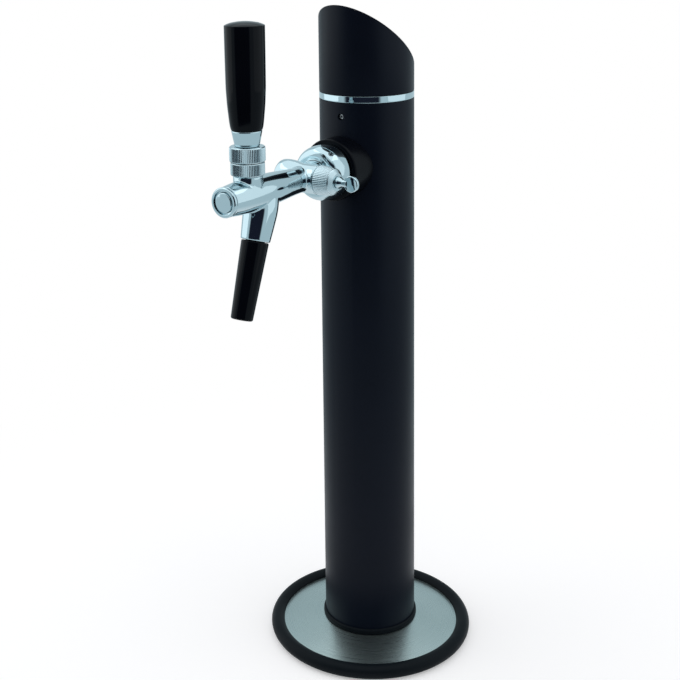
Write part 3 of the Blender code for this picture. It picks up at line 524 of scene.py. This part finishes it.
# %% Side lever
spindle_outline = rounded([(0, 0.0058), (0.0033, 0.0058), (0.0033, 0.0166), (0.0046, 0.0166),
                           (0.0046, 0.0182), (0.0025, 0.0182), (0.0025, 0.0300), (0.0045, 0.0300),
                           (0.0045, 0.0318), (0.0027, 0.0346), (0.0027, 0.0385), (0, 0.0385)], 0.0002)
spindle = lathe("side_lever", spindle_outline, compensator_centre, (1, 0, 0), 48)
disc_outline = rounded([(0, -0.0015), (0.0057, -0.0015), (0.0062, -0.0010), (0.0062, 0.0010),
                        (0.0057, 0.0015), (0, 0.0015)], 0.0003, 4)
disc_centre = compensator_centre + Vector((0.042, 0, 0))
thumb_disc = lathe("thumb_disc", disc_outline, disc_centre, down_tap, 64)
crank_pin = drill("crank_pin", 0.0011, compensator_centre + Vector((0.0012, 0, 0.002)), (1, 0, 0), 0.006, 24)
carve(spindle, thumb_disc, crank_pin, operation="UNION")
settle(spindle, 35)
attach(spindle, "lever")
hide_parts("compensator_lever")

# %% [markdown]
# ## Handle
# A chrome ferrule widens into the glossy black grip. The grip swells towards its top and ends in a shallow
# dome. Both are turned from flowing outlines, and the bore for the lever's stem is part of the outline.

# %% Ferrule and grip
ferrule_low = 0.0163
ferrule_high = 0.0274
ferrule_outline = rounded([(0.0029, ferrule_low), (0.0088, ferrule_low), (0.0090, ferrule_low + 0.0005),
                           (0.0110, ferrule_high - 0.0006), (0.0108, ferrule_high),
                           (0.0029, ferrule_high)], 0.0003, closed=True)
ferrule = lathe("ferrule", ferrule_outline, pivot, steps=96)
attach(ferrule, "handle")
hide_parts("handle_ferrule")

grip_low = 0.0277
grip_side = flowing([(0.0112, grip_low + 0.0002), (0.01183, grip_low + 0.0025), (0.01241, grip_low + 0.0068),
                     (0.01284, grip_low + 0.0111), (0.01327, grip_low + 0.0153), (0.0136, grip_low + 0.0196),
                     (0.01383, grip_low + 0.0238), (0.01405, grip_low + 0.0281), (0.01415, grip_low + 0.0323),
                     (0.01422, grip_low + 0.0407), (0.01427, grip_low + 0.0491), (0.01432, grip_low + 0.0575),
                     (0.01435, grip_low + 0.0725)], 3)
grip_top = [(0.01433, grip_low + 0.0731), (0.01420, grip_low + 0.07345), (0.0139, grip_low + 0.0736),
            (0.0126, grip_low + 0.0742), (0.0100, grip_low + 0.0751), (0.0060, grip_low + 0.0758),
            (0.0030, grip_low + 0.0761), (0, grip_low + 0.0762)]
grip = lathe("grip", [(0, grip_low + 0.028), (0.0029, grip_low + 0.028), (0.0029, grip_low),
                      (0.0109, grip_low)] + grip_side + grip_top, pivot, steps=96)
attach(grip, "handle")
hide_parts("handle_grip")

# %% [markdown]
# ## Spout
# The black spout pushes up into the outlet, narrows towards its tip and widens a little inside at the mouth.

# %% Spout
spout_outline = rounded([(0.0062, 0.0938), (0.0073, 0.0938), (0.0081, 0.0930), (0.0083, 0.088),
                         (0.0101, 0.0380), (0.0099, 0.0371), (0.0092, 0.0369), (0.0070, 0.0369),
                         (0.0070, 0.0318), (0.0056, 0.0318), (0.0056, 0.0296), (0.0070, 0.0296),
                         (0.0070, 0.0249), (0.0042, 0.0249), (0.0042, 0.0369)], 0.0003, closed=True)
spout = lathe("spout", spout_outline, outlet_centre, outlet_axis, 96)
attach(spout, "tower")
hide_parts("spout_tube")

# %% [markdown]
# # Finishes
# Every finish is made of nodes. Two effects come back in many of them, so they are node groups: slow,
# cloudy variation as handling leaves it on a surface, and a fine grain for relief.


# %% Shared node groups
def new_group(name, inputs, output):
    group = bpy.data.node_groups.new(name, "ShaderNodeTree")
    for label, value in inputs:
        socket = group.interface.new_socket(name=label, in_out="INPUT", socket_type="NodeSocketFloat")
        socket.default_value = value
    group.interface.new_socket(name=output, in_out="OUTPUT", socket_type="NodeSocketFloat")
    return group


def add_node(tree, kind, **settings):
    node = tree.nodes.new(kind)
    for name, value in settings.items():
        setattr(node, name, value)
    return node


def make_cloud_group():
    """Roughness that drifts slowly between two values."""
    group = new_group("handled_surface", [("Scale", 40), ("Low", 0.1), ("High", 0.2)], "Roughness")
    links = group.links
    entry = add_node(group, "NodeGroupInput")
    leave = add_node(group, "NodeGroupOutput")
    place = add_node(group, "ShaderNodeTexCoord")
    slow = add_node(group, "ShaderNodeTexNoise")
    slow.inputs["Detail"].default_value = 4
    links.new(place.outputs["Object"], slow.inputs["Vector"])
    links.new(entry.outputs["Scale"], slow.inputs["Scale"])
    spread = add_node(group, "ShaderNodeMapRange")
    spread.inputs["From Min"].default_value = 0.3
    spread.inputs["From Max"].default_value = 0.7
    links.new(slow.outputs["Fac"], spread.inputs["Value"])
    links.new(entry.outputs["Low"], spread.inputs["To Min"])
    links.new(entry.outputs["High"], spread.inputs["To Max"])
    links.new(spread.outputs["Result"], leave.inputs["Roughness"])
    return group


def make_grain_group():
    """A fine grain height made of two noises."""
    group = new_group("fine_grain", [("Scale", 800), ("Second Scale", 150), ("Share", 0.4)], "Height")
    links = group.links
    entry = add_node(group, "NodeGroupInput")
    leave = add_node(group, "NodeGroupOutput")
    place = add_node(group, "ShaderNodeTexCoord")
    first = add_node(group, "ShaderNodeTexNoise")
    second = add_node(group, "ShaderNodeTexNoise")
    for noise, label in ((first, "Scale"), (second, "Second Scale")):
        links.new(place.outputs["Object"], noise.inputs["Vector"])
        links.new(entry.outputs[label], noise.inputs["Scale"])
    mix = add_node(group, "ShaderNodeMix", data_type="FLOAT")
    links.new(entry.outputs["Share"], mix.inputs["Factor"])
    links.new(first.outputs["Fac"], mix.inputs["A"])
    links.new(second.outputs["Fac"], mix.inputs["B"])
    links.new(mix.outputs["Result"], leave.inputs["Height"])
    return group


cloud_group = make_cloud_group()
grain_group = make_grain_group()


# %% [markdown]
# The first function sets up a Principled material with a slight drift in colour. The second one adds cloudy
# roughness and a fine relief. Each finish then gives its own values. The ribbed rings are less polished
# than the casting, because knurling is plated as it comes from the tool.


# %% Finish with its own colour, roughness and grain
def tinted(name, colour, second_colour, metallic, cloud_scale, gloss=0.5):
    """A Principled material whose colour drifts slowly between two values."""
    material = bpy.data.materials.new(name)
    material.use_nodes = True
    tree = material.node_tree
    shader = tree.nodes["Principled BSDF"]
    shader.inputs["Metallic"].default_value = metallic
    shader.inputs["Specular IOR Level"].default_value = gloss
    place = add_node(tree, "ShaderNodeTexCoord")
    drift = add_node(tree, "ShaderNodeTexNoise")
    drift.inputs["Scale"].default_value = cloud_scale*0.7
    drift.inputs["Detail"].default_value = 3
    tree.links.new(place.outputs["Object"], drift.inputs["Vector"])
    blend = add_node(tree, "ShaderNodeMix", data_type="RGBA")
    blend.inputs["A"].default_value = (*colour, 1)
    blend.inputs["B"].default_value = (*second_colour, 1)
    tree.links.new(drift.outputs["Fac"], blend.inputs["Factor"])
    tree.links.new(blend.outputs["Result"], shader.inputs["Base Color"])
    return material


def finish(name, colour, second_colour, metallic, low, high, cloud_scale, grain_scale, relief, gloss=0.5):
    """A tinted material with cloudy roughness between low and high, and a fine relief."""
    material = tinted(name, colour, second_colour, metallic, cloud_scale, gloss)
    tree = material.node_tree
    shader = tree.nodes["Principled BSDF"]
    cloud = add_node(tree, "ShaderNodeGroup", node_tree=cloud_group)
    cloud.inputs["Scale"].default_value = cloud_scale
    cloud.inputs["Low"].default_value = low
    cloud.inputs["High"].default_value = high
    tree.links.new(cloud.outputs["Roughness"], shader.inputs["Roughness"])
    grain = add_node(tree, "ShaderNodeGroup", node_tree=grain_group)
    grain.inputs["Scale"].default_value = grain_scale
    grain.inputs["Second Scale"].default_value = grain_scale*0.2
    bump = add_node(tree, "ShaderNodeBump")
    bump.inputs["Strength"].default_value = relief
    bump.inputs["Distance"].default_value = 0.0002
    tree.links.new(grain.outputs["Height"], bump.inputs["Height"])
    tree.links.new(bump.outputs["Normal"], shader.inputs["Normal"])
    return material


chrome = finish("polished_chrome", (0.52, 0.64, 0.68), (0.56, 0.68, 0.72), 1, 0.03, 0.08, 60, 300, 0.02)
satin_chrome = finish("satin_chrome", (0.52, 0.63, 0.67), (0.57, 0.68, 0.72), 1, 0.20, 0.28, 60, 300, 0.03)
paint = finish("satin_black_paint", (0.0025, 0.0045, 0.0105), (0.0045, 0.0075, 0.016), 0, 0.34, 0.42, 25, 900,
               0.05, gloss=0.11)
plastic_black = ((0.0015, 0.002, 0.004), (0.003, 0.004, 0.007))
gloss = finish("gloss_black_plastic", *plastic_black, 0, 0.06, 0.13, 50, 400, 0.015, gloss=0.1)
collar_black = finish("satin_black_plastic", *plastic_black, 0, 0.22, 0.30, 50, 700, 0.03, gloss=0.07)
rubber = finish("black_rubber", (0.003, 0.005, 0.007), (0.006, 0.009, 0.012), 0, 0.36, 0.50, 45, 1400, 0.15,
                gloss=0.07)
steel = finish("plain_steel", (0.46, 0.47, 0.48), (0.56, 0.57, 0.58), 1, 0.25, 0.4, 60, 1500, 0.1)
brass = finish("turned_brass", (0.62, 0.42, 0.16), (0.74, 0.54, 0.24), 1, 0.2, 0.35, 60, 1200, 0.08)
iron = finish("cast_iron", (0.05, 0.05, 0.055), (0.09, 0.09, 0.09), 0.6, 0.5, 0.7, 60, 700, 0.6)
white_seal = finish("white_seal", (0.78, 0.78, 0.75), (0.86, 0.86, 0.83), 0, 0.35, 0.5, 60, 900, 0.05)
foam = finish("pipe_foam", (0.03, 0.03, 0.033), (0.055, 0.055, 0.06), 0, 0.8, 0.95, 80, 900, 0.9)
print("finishes:", len(bpy.data.materials))

# %% [markdown]
# The cover is brushed on a lathe, so its scratches run in circles. A noise that is very fine along the radius
# and very slow along the angle gives such lines, both in the roughness and as relief.


# %% Circular brushing
def brushed_round(name, colour, second_colour):
    material = tinted(name, colour, second_colour, 1, 30)
    tree = material.node_tree
    shader = tree.nodes["Principled BSDF"]
    links = tree.links
    place = add_node(tree, "ShaderNodeTexCoord")
    parts = add_node(tree, "ShaderNodeSeparateXYZ")
    links.new(place.outputs["Object"], parts.inputs["Vector"])
    angle = add_node(tree, "ShaderNodeMath", operation="ARCTAN2")
    links.new(parts.outputs["Y"], angle.inputs[0])
    links.new(parts.outputs["X"], angle.inputs[1])
    flat = add_node(tree, "ShaderNodeVectorMath", operation="MULTIPLY")
    flat.inputs[1].default_value = (1, 1, 0)
    links.new(place.outputs["Object"], flat.inputs[0])
    radius = add_node(tree, "ShaderNodeVectorMath", operation="LENGTH")
    links.new(flat.outputs["Vector"], radius.inputs[0])
    fine = add_node(tree, "ShaderNodeMath", operation="MULTIPLY")
    fine.inputs[1].default_value = 2600
    links.new(radius.outputs["Value"], fine.inputs[0])
    ring_place = add_node(tree, "ShaderNodeCombineXYZ")
    links.new(fine.outputs["Value"], ring_place.inputs["X"])
    links.new(angle.outputs["Value"], ring_place.inputs["Y"])
    lines = add_node(tree, "ShaderNodeTexNoise")
    lines.inputs["Scale"].default_value = 1
    lines.inputs["Detail"].default_value = 5
    links.new(ring_place.outputs["Vector"], lines.inputs["Vector"])
    spread = add_node(tree, "ShaderNodeMapRange")
    spread.inputs["To Min"].default_value = 0.16
    spread.inputs["To Max"].default_value = 0.42
    links.new(lines.outputs["Fac"], spread.inputs["Value"])
    links.new(spread.outputs["Result"], shader.inputs["Roughness"])
    bump = add_node(tree, "ShaderNodeBump")
    bump.inputs["Strength"].default_value = 0.25
    bump.inputs["Distance"].default_value = 0.0001
    links.new(lines.outputs["Fac"], bump.inputs["Height"])
    links.new(bump.outputs["Normal"], shader.inputs["Normal"])
    return material


cover_steel = brushed_round("circular_brushed_steel", (0.37, 0.44, 0.435), (0.47, 0.55, 0.54))

# %% [markdown]
# ## Giving out the finishes
# New pieces and the CAD nodes that stay visible inside both get one of the finishes.

# %% Assign finishes
worn_by = {
    chrome: [trim_band, flange, casting, nose_rim, nose_cap, spindle, ferrule],
    satin_chrome: [neck_ring, handle_nut, gland_nut],
    paint: [column_shell, slanted_cap],
    gloss: [grip, spout],
    collar_black: [rosette],
    rubber: [rubber_bead, foot_lip],
    steel: [cap_screw, flange_screw, side_screw],
    cover_steel: [steel_cover],
}
for material, items in worn_by.items():
    for item in items:
        item.data.materials.clear()
        item.data.materials.append(material)

node_finish = {
    "rubber": rubber, "brushed_steel": cover_steel, "cast_iron": iron, "plain_steel": steel,
    "column_black": paint, "chrome": chrome, "gloss_black": gloss, "brass": brass, "seal_white": white_seal,
    "foam": foam,
}
for entry in frame["record"]["subparts"]:
    for slot in nodes[entry["node"]].material_slots:
        slot.material = node_finish[entry["material_slot"]]

# %% [markdown]
# # Studio
# The tower stands on a white floor in a bright studio of pale cloth. Away from the foot the floor fades into
# the white of the backdrop, so that no horizon shows, and near the foot it is plain and keeps the shadow.
# Chrome shows the studio around it, and there the cloth is a cool grey with one dark opening on the
# camera's side. That opening gives the black bands on the outlet, the neck and the trim ring. Light Path
# picks these colours, so they put no extra light on the object.


# %% What camera, glossy and other rays see
def seen_rays(tree):
    """Two outputs of a material or world: one for camera rays, one for glossy and transmission rays."""
    ray = add_node(tree, "ShaderNodeLightPath")
    mirror = add_node(tree, "ShaderNodeMath", operation="MAXIMUM")
    tree.links.new(ray.outputs["Is Glossy Ray"], mirror.inputs[0])
    tree.links.new(ray.outputs["Is Transmission Ray"], mirror.inputs[1])
    return ray.outputs["Is Camera Ray"], mirror.outputs["Value"]


def blend_colours(tree, share, first, second):
    """A colour mix whose ends are either a colour or another node's output."""
    blend = add_node(tree, "ShaderNodeMix", data_type="RGBA")
    tree.links.new(share, blend.inputs["Factor"])
    for end, label in ((first, "A"), (second, "B")):
        if isinstance(end, tuple):
            blend.inputs[label].default_value = (*end, 1)
        else:
            tree.links.new(end, blend.inputs[label])
    return blend.outputs["Result"]


def ramp(tree, value, low, high, from_low=0.0, to_high=1.0):
    """A value spread between two limits and held outside them."""
    spread = add_node(tree, "ShaderNodeMapRange", interpolation_type="SMOOTHSTEP")
    spread.inputs["From Min"].default_value = low
    spread.inputs["From Max"].default_value = high
    spread.inputs["To Min"].default_value = from_low
    spread.inputs["To Max"].default_value = to_high
    tree.links.new(value, spread.inputs["Value"])
    return spread.outputs["Result"]


studio_cloth = (0.57, 0.69, 0.74)
white = (1.0, 1.0, 1.0)

# %% Floor
fade_start = 0.14
fade_end = 0.60
floor_grey = (0.82, 0.82, 0.82)
black = (0.0, 0.0, 0.0)
glow_at_foot = 0.33
bpy.ops.object.select_all(action="DESELECT")
bpy.ops.mesh.primitive_circle_add(vertices=96, radius=1.2, fill_type="NGON", location=(0, 0, -0.0002))
floor = bpy.context.object
floor.name = "studio_floor"
floor_white = bpy.data.materials.new("studio_white")
floor_white.use_nodes = True
floor_tree = floor_white.node_tree
floor_shader = floor_tree.nodes["Principled BSDF"]
floor_shader.inputs["Roughness"].default_value = 0.9
floor_shader.inputs["Specular IOR Level"].default_value = 0
spot = add_node(floor_tree, "ShaderNodeTexCoord")
reach = add_node(floor_tree, "ShaderNodeVectorMath", operation="LENGTH")
floor_tree.links.new(spot.outputs["Object"], reach.inputs[0])
fade = ramp(floor_tree, reach.outputs["Value"], fade_start, fade_end)
floor_colour = blend_colours(floor_tree, fade, floor_grey, black)
floor_tree.links.new(floor_colour, floor_shader.inputs["Base Color"])
by_camera, by_mirror = seen_rays(floor_tree)
floor_glow = blend_colours(floor_tree, by_mirror, white, studio_cloth)
floor_tree.links.new(floor_glow, floor_shader.inputs["Emission Color"])
seen = add_node(floor_tree, "ShaderNodeMath", operation="MAXIMUM")
floor_tree.links.new(by_camera, seen.inputs[0])
floor_tree.links.new(by_mirror, seen.inputs[1])
strength = ramp(floor_tree, reach.outputs["Value"], fade_start, fade_end, glow_at_foot, 1.0)
glow = add_node(floor_tree, "ShaderNodeMath", operation="MULTIPLY")
floor_tree.links.new(seen.outputs["Value"], glow.inputs[0])
floor_tree.links.new(strength, glow.inputs[1])
floor_tree.links.new(glow.outputs["Value"], floor_shader.inputs["Emission Strength"])
floor.data.materials.append(floor_white)

# %% World
opening_azimuth = radians(-68)
opening_outer = radians(48)
opening_inner = radians(38)
opening_full_height = radians(28)
opening_top = radians(40)
opening_colour = (0.012, 0.014, 0.026)
air_light = (0.50, 0.51, 0.53)
world = bpy.data.worlds.new("studio_air")
bpy.context.scene.world = world
world.use_nodes = True
air = world.node_tree
background = air.nodes["Background"]
direction = add_node(air, "ShaderNodeTexCoord")
level = add_node(air, "ShaderNodeVectorMath", operation="MULTIPLY")
level.inputs[1].default_value = (1, 1, 0)
air.links.new(direction.outputs["Generated"], level.inputs[0])
heading = add_node(air, "ShaderNodeVectorMath", operation="NORMALIZE")
air.links.new(level.outputs["Vector"], heading.inputs[0])
toward_opening = add_node(air, "ShaderNodeVectorMath", operation="DOT_PRODUCT")
toward_opening.inputs[1].default_value = (cos(opening_azimuth), sin(opening_azimuth), 0)
air.links.new(heading.outputs["Vector"], toward_opening.inputs[0])
opening_width = ramp(air, toward_opening.outputs["Value"], cos(opening_outer), cos(opening_inner))
parts = add_node(air, "ShaderNodeSeparateXYZ")
air.links.new(direction.outputs["Generated"], parts.inputs["Vector"])
opening_height = ramp(air, parts.outputs["Z"], sin(opening_full_height), sin(opening_top),
                      1.0, 0.0)
opening = add_node(air, "ShaderNodeMath", operation="MULTIPLY")
air.links.new(opening_width, opening.inputs[0])
air.links.new(opening_height, opening.inputs[1])
mirror_view = blend_colours(air, opening.outputs["Value"], studio_cloth, opening_colour)
by_camera, by_mirror = seen_rays(air)
light_view = blend_colours(air, by_mirror, air_light, mirror_view)
air.links.new(blend_colours(air, by_camera, light_view, white), background.inputs["Color"])

# %% [markdown]
# ## Lamps
# Three large soft panels light the tower from left, right and above. Their power is low for their size, so
# that they show in the chrome as broad pale areas and not as burnt-out patches.

# %% Lamps
def soft_lamp(name, place, target, width, height, power):
    bpy.ops.object.light_add(type="AREA", location=place)
    lamp = bpy.context.object
    lamp.name = name
    lamp.data.shape = "RECTANGLE"
    lamp.data.size = width
    lamp.data.size_y = height
    lamp.data.energy = power
    lamp.rotation_euler = (Vector(target) - Vector(place)).to_track_quat("-Z", "Y").to_euler()
    return lamp


soft_lamp("left_bank", (-1.5, -0.7, 1.1), target=(0, 0, 0.3), width=2.1, height=2.4, power=10)
soft_lamp("right_bank", (1.5, 0.6, 1.1), target=(0, 0, 0.3), width=2.1, height=2.4, power=6)
soft_lamp("top_bank", (0, 0.1, 1.9), target=(0, 0, 0.2), width=2.6, height=2.6, power=11)

# %% [markdown]
# ## Camera
# The photograph was cropped off its centre, so the camera has a lens shift. Its place, angles and focal
# length come from a fit to the edges of the tower in the photograph. They are given in the photograph's own
# frame, which is turned about Z against the object's.

# %% Camera at the photograph's view
frame_pixels = 680
focal_pixels = 1242.25
centre_x, centre_y = 294.7, 136.8
sensor_width = 36
yaw, pitch, roll = -0.059, 0.178, -0.017
turn = radians(32.85)
camera_data = bpy.data.cameras.new("photo_camera")
camera = bpy.data.objects.new("photo_camera", camera_data)
bpy.context.scene.collection.objects.link(camera)
bpy.context.scene.camera = camera
forward = Vector((sin(yaw)*cos(pitch), cos(yaw)*cos(pitch), -sin(pitch)))
right = Vector((cos(yaw), -sin(yaw), 0))
up = right.cross(forward)
right_rolled = right*cos(roll) + up*sin(roll)
up_rolled = up*cos(roll) - right*sin(roll)
view = Matrix((right_rolled, up_rolled, -forward)).transposed().to_4x4()
view.translation = Vector((0, -0.9872, 0.6064))
camera.matrix_world = Matrix.Rotation(turn, 4, "Z") @ view
camera_data.sensor_width = sensor_width
camera_data.lens = focal_pixels/frame_pixels*sensor_width
camera_data.shift_x = (frame_pixels/2 - centre_x)/frame_pixels
camera_data.shift_y = (centre_y - frame_pixels/2)/frame_pixels
camera_data.clip_start = 0.01
bpy.context.scene.view_settings.view_transform = "Standard"
